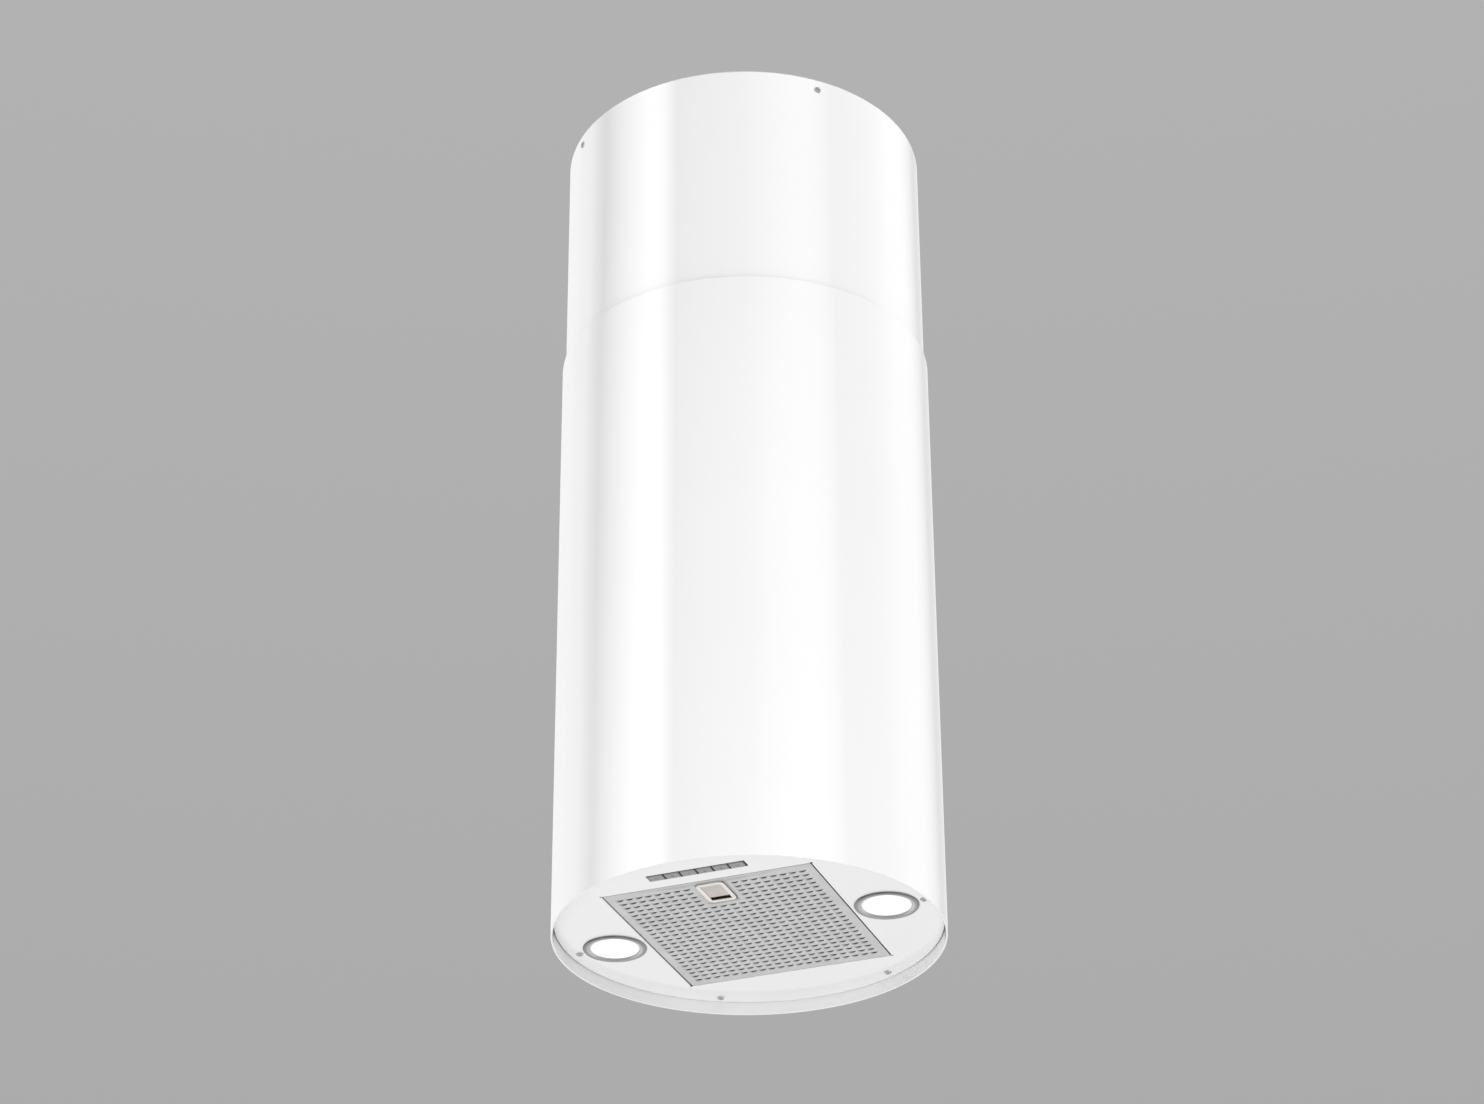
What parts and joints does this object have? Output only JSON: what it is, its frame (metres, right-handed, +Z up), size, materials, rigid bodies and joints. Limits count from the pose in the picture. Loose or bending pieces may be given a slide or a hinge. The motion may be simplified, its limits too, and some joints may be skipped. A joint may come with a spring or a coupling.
{
  "type": "island range hood",
  "caption": "White cylindrical island cooker hood that hangs from a ceiling: telescopic sleeve, round bottom panel with a louvred grease filter, round lamps and a strip of push buttons.",
  "frame": {"origin": "centre of the ceiling plate's top face, the face that meets the ceiling", "axes": "+Z up into the ceiling, -Y the front with the buttons and the filter latch, +X the hood's right as seen from the front"},
  "size_m": [0.3899, 0.39, 0.916],
  "materials": {
    "white_enamel": "gloss white coating on sheet steel",
    "galvanised": "galvanised sheet steel",
    "zinc": "bright zinc plate",
    "guide_pad": "plain plastic",
    "blower_plastic": "moulded plastic",
    "shaft_steel": "ground steel",
    "motor_case": "dark coated steel",
    "control_plastic": "moulded plastic",
    "capacitor_can": "plain aluminium can",
    "button_grey": "satin grey plastic",
    "button_surround": "dark plastic",
    "filter_aluminium": "pressed aluminium",
    "latch_plate": "pressed aluminium",
    "latch_beige": "warm beige satin",
    "bezel_satin": "satin turned metal",
    "lamp_diffuser": "opal diffuser",
    "lamp_can": "cast aluminium"
  },
  "bodies": {
    "ceiling": {"ceiling_plate": "galvanised", "rail_foot_bolts": "zinc", "upper_rail_1": "galvanised", "upper_rail_2": "galvanised", "upper_rail_3": "galvanised", "upper_rail_4": "galvanised"},
    "sleeve": {"upper_sleeve": "white_enamel", "sleeve_screws": "zinc"},
    "hood": {"lower_casing": "white_enamel", "sleeve_guides": "guide_pad", "base_ring": "galvanised", "blower_box": "galvanised", "blower_box_bolts": "zinc", "casing_braces": "galvanised", "scroll_left": "blower_plastic", "scroll_right": "blower_plastic", "motor": "motor_case", "motor_spider": "galvanised", "duct_collar": "blower_plastic", "damper_pin": "shaft_steel", "control_box": "control_plastic", "control_lid": "control_plastic", "cable_gland": "control_plastic", "capacitor": "capacitor_can", "capacitor_clip": "zinc", "bottom_panel": "white_enamel", "panel_screws": "zinc", "button_frame": "button_surround", "switch_housing": "control_plastic", "lower_rail_1": "galvanised", "lower_rail_2": "galvanised", "lower_rail_3": "galvanised", "lower_rail_4": "galvanised", "rail_clamp_bolts": "zinc", "rail_fixing_bolts": "zinc", "lamp_left_bezel": "bezel_satin", "lamp_left_lens": "lamp_diffuser", "lamp_left_body": "lamp_can", "lamp_right_bezel": "bezel_satin", "lamp_right_lens": "lamp_diffuser", "lamp_right_body": "lamp_can"},
    "wheel": {"impeller": "blower_plastic", "motor_shaft": "shaft_steel"},
    "flap_front": {"damper_flap_front": "blower_plastic"},
    "flap_rear": {"damper_flap_rear": "blower_plastic"},
    "filter": {"filter_face": "filter_aluminium", "filter_frame": "filter_aluminium", "filter_core": "filter_aluminium", "filter_back": "filter_aluminium", "latch_cup": "latch_plate", "latch_spring": "zinc"},
    "latch": {"latch_slider": "latch_beige"},
    "key_1": {"button_1": "button_grey"},
    "key_2": {"button_2": "button_grey"},
    "key_3": {"button_3": "button_grey"},
    "key_4": {"button_4": "button_grey"},
    "key_5": {"button_5": "button_grey"},
    "key_6": {"button_6": "button_grey"}
  },
  "joints": [
    {"name": "height_adjust", "type": "slide", "parent": "ceiling", "child": "hood", "axis": [0, 0, 1], "range_m": [0, 0.18]},
    {"name": "sleeve_drop", "type": "slide", "parent": "ceiling", "child": "sleeve", "axis": [0, 0, 1], "range_m": [-0.15, 0]},
    {"name": "impeller_spin", "type": "hinge", "parent": "hood", "child": "wheel", "pos_m": [0, -0.04526, -0.7185], "axis": [1, 0, 0], "continuous": true},
    {"name": "flap_front_lift", "type": "hinge", "parent": "hood", "child": "flap_front", "pos_m": [0, 0, -0.5655], "axis": [-1, 0, 0], "range_deg": [0, 75]},
    {"name": "flap_rear_lift", "type": "hinge", "parent": "hood", "child": "flap_rear", "pos_m": [0, 0, -0.5655], "axis": [1, 0, 0], "range_deg": [0, 75]},
    {"name": "filter_swing", "type": "hinge", "parent": "hood", "child": "filter", "pos_m": [0, 0.118, -0.903], "axis": [1, 0, 0], "range_deg": [0, 60]},
    {"name": "latch_pull", "type": "slide", "parent": "filter", "child": "latch", "axis": [0, 1, 0], "range_m": [0, 0.007], "stiffness_N_per_m": 400, "springref_m": -0.002, "deforming": ["latch_spring"]},
    {"name": "button_1_press", "type": "slide", "parent": "hood", "child": "key_1", "axis": [0, 0, 1], "range_m": [0, 0.002], "stiffness_N_per_m": 300, "springref_m": -0.001},
    {"name": "button_2_press", "type": "slide", "parent": "hood", "child": "key_2", "axis": [0, 0, 1], "range_m": [0, 0.002], "stiffness_N_per_m": 300, "springref_m": -0.001},
    {"name": "button_3_press", "type": "slide", "parent": "hood", "child": "key_3", "axis": [0, 0, 1], "range_m": [0, 0.002], "stiffness_N_per_m": 300, "springref_m": -0.001},
    {"name": "button_4_press", "type": "slide", "parent": "hood", "child": "key_4", "axis": [0, 0, 1], "range_m": [0, 0.002], "stiffness_N_per_m": 300, "springref_m": -0.001},
    {"name": "button_5_press", "type": "slide", "parent": "hood", "child": "key_5", "axis": [0, 0, 1], "range_m": [0, 0.002], "stiffness_N_per_m": 300, "springref_m": -0.001},
    {"name": "button_6_press", "type": "slide", "parent": "hood", "child": "key_6", "axis": [0, 0, 1], "range_m": [0, 0.002], "stiffness_N_per_m": 300, "springref_m": -0.001}
  ]
}
